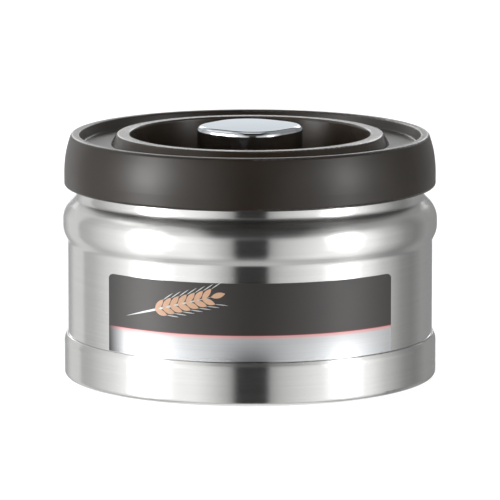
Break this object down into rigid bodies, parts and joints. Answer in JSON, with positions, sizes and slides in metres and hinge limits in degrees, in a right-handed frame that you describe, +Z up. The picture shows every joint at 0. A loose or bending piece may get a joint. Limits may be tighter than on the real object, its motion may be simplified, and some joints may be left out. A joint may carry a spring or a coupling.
{
  "type": "food canister",
  "caption": "Squat round steel food canister with a dark moulded lid; pressing the chromed button in its well spreads a gasket against the neck to seal it.",
  "frame": {"origin": "middle of the resting plane under the base cup, on the canister's axis", "axes": "+Z up along the canister's axis, -Y towards the labelled front, +X to the right as seen from the front"},
  "size_m": [0.1287, 0.1286, 0.0866],
  "materials": {
    "body_steel": "fine brushed satin",
    "base_steel": "fine brushed satin",
    "label_film": "glossy printed film with a red line and a pale band",
    "lid_plastic": "satin moulded charcoal brown",
    "well_plastic": "satin moulded charcoal brown",
    "inner_plastic": "plain moulded",
    "plug_plastic": "satin moulded",
    "shoe_plastic": "plain moulded, slippery",
    "gasket_silicone": "soft translucent grey silicone",
    "button_chrome": "polished plating",
    "screw_steel": "zinc plated",
    "spring_steel": "drawn wire"
  },
  "bodies": {
    "canister": {"body_shell": "body_steel", "base_cup": "base_steel", "front_label": "label_film"},
    "lid": {"lid_cover": "lid_plastic", "well_insert": "well_plastic", "slide_plate": "inner_plastic", "plug_cover": "plug_plastic", "expanding_gasket": "gasket_silicone", "plate_screws": "screw_steel", "return_spring": "spring_steel"},
    "button": {"button_cap": "button_chrome", "plunger": "inner_plastic", "cap_screw": "screw_steel"},
    "latch": {"latch_pin": "spring_steel"},
    "shoe_1": {"spreader_shoe_1": "shoe_plastic"},
    "shoe_2": {"spreader_shoe_2": "shoe_plastic"},
    "shoe_3": {"spreader_shoe_3": "shoe_plastic"},
    "shoe_4": {"spreader_shoe_4": "shoe_plastic"},
    "shoe_5": {"spreader_shoe_5": "shoe_plastic"},
    "shoe_6": {"spreader_shoe_6": "shoe_plastic"}
  },
  "joints": [
    {"name": "lid_lift", "type": "slide", "parent": "canister", "child": "lid", "axis": [0, 0, 1], "range_m": [0, 0.06]},
    {"name": "button_press", "type": "slide", "parent": "lid", "child": "button", "axis": [0, 0, -1], "range_m": [0, 0.006], "stiffness_N_per_m": 600, "springref_m": -0.005, "deforming": ["return_spring", "expanding_gasket"]},
    {"name": "latch_swing", "type": "hinge", "parent": "lid", "child": "latch", "pos_m": [0, 0.0115, 0.0563], "axis": [0, 1, 0], "range_deg": [0, 14]},
    {"name": "shoe_1_slide", "type": "slide", "parent": "lid", "child": "shoe_1", "axis": [1, 0, 0], "range_m": [0, 0.0012]},
    {"name": "shoe_2_slide", "type": "slide", "parent": "lid", "child": "shoe_2", "axis": [0.5, 0.866, 0], "range_m": [0, 0.0012]},
    {"name": "shoe_3_slide", "type": "slide", "parent": "lid", "child": "shoe_3", "axis": [-0.5, 0.866, 0], "range_m": [0, 0.0012]},
    {"name": "shoe_4_slide", "type": "slide", "parent": "lid", "child": "shoe_4", "axis": [-1, 0, 0], "range_m": [0, 0.0012]},
    {"name": "shoe_5_slide", "type": "slide", "parent": "lid", "child": "shoe_5", "axis": [-0.5, -0.866, 0], "range_m": [0, 0.0012]},
    {"name": "shoe_6_slide", "type": "slide", "parent": "lid", "child": "shoe_6", "axis": [0.5, -0.866, 0], "range_m": [0, 0.0012]}
  ],
  "couplings": [
    {"joint": "latch_swing", "follows": "button_press", "rad_per_m": 40.724},
    {"joint": "shoe_1_slide", "follows": "button_press", "ratio": 0.2},
    {"joint": "shoe_2_slide", "follows": "button_press", "ratio": 0.2},
    {"joint": "shoe_3_slide", "follows": "button_press", "ratio": 0.2},
    {"joint": "shoe_4_slide", "follows": "button_press", "ratio": 0.2},
    {"joint": "shoe_5_slide", "follows": "button_press", "ratio": 0.2},
    {"joint": "shoe_6_slide", "follows": "button_press", "ratio": 0.2}
  ]
}
